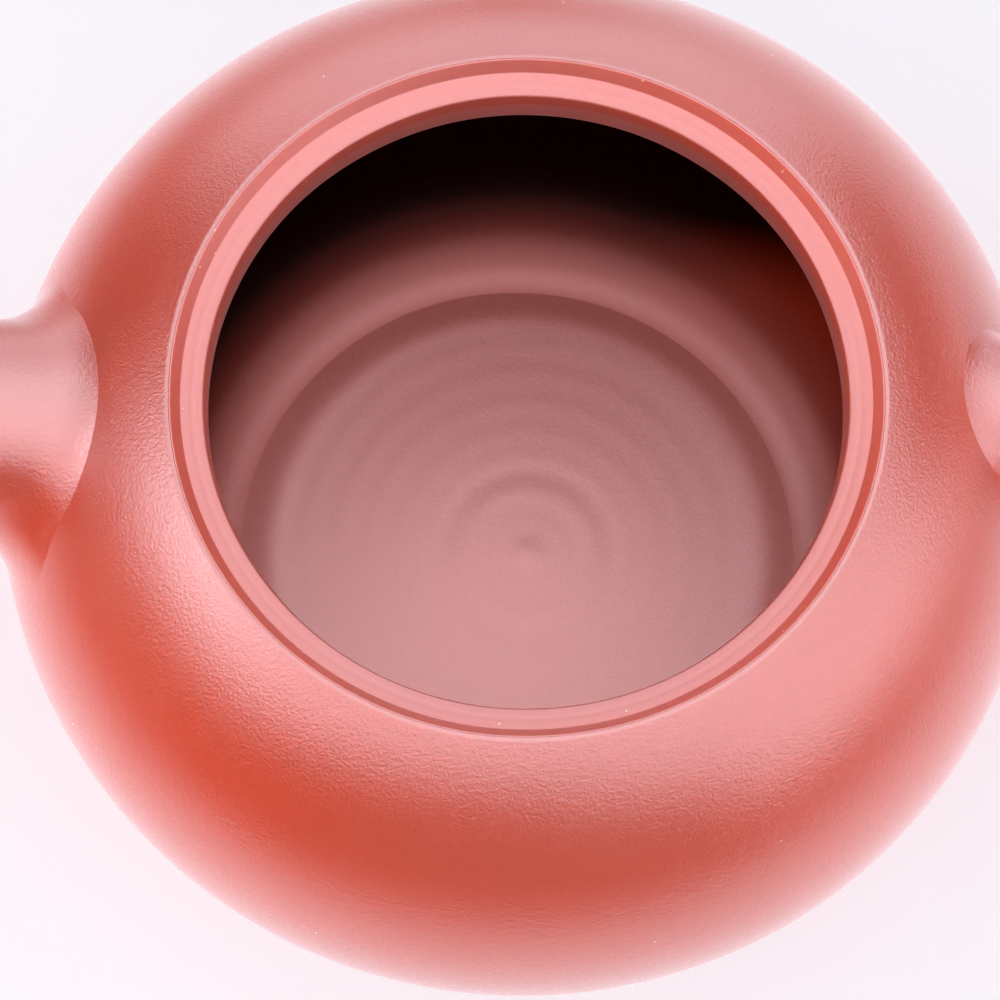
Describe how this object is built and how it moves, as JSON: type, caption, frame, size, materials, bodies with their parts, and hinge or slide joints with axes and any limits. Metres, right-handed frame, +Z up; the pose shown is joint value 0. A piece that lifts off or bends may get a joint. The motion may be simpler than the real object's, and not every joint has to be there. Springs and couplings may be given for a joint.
{
  "type": "clay teapot",
  "caption": "Low round red clay teapot with a wide open mouth, a short spout, a loop handle and an inset domed lid lying beside it.",
  "frame": {"origin": "centre of the foot on the table", "axes": "+Z up through the mouth, -X along the spout, +X along the handle, +Y to the back, where the lid lies"},
  "size_m": [0.1458, 0.189, 0.0559],
  "materials": {
    "red_clay": "unglazed red clay, burnished to a satin",
    "unpolished_clay": "unglazed red clay as fired, matt"
  },
  "bodies": {
    "pot": {"body_wall": "red_clay", "mouth_ring": "unpolished_clay", "base_disc": "red_clay", "foot_ring": "unpolished_clay", "spout": "red_clay", "strainer": "unpolished_clay", "handle": "red_clay"},
    "lid": {"lid_plate": "red_clay", "lid_collar": "unpolished_clay", "knob": "red_clay"}
  },
  "joints": [
    {"name": "lid_turn", "type": "hinge", "parent": "pot", "child": "lid", "pos_m": [0, 0.06394, 0.05102], "axis": [1, 0, 0], "range_deg": [0, 212.39]}
  ]
}
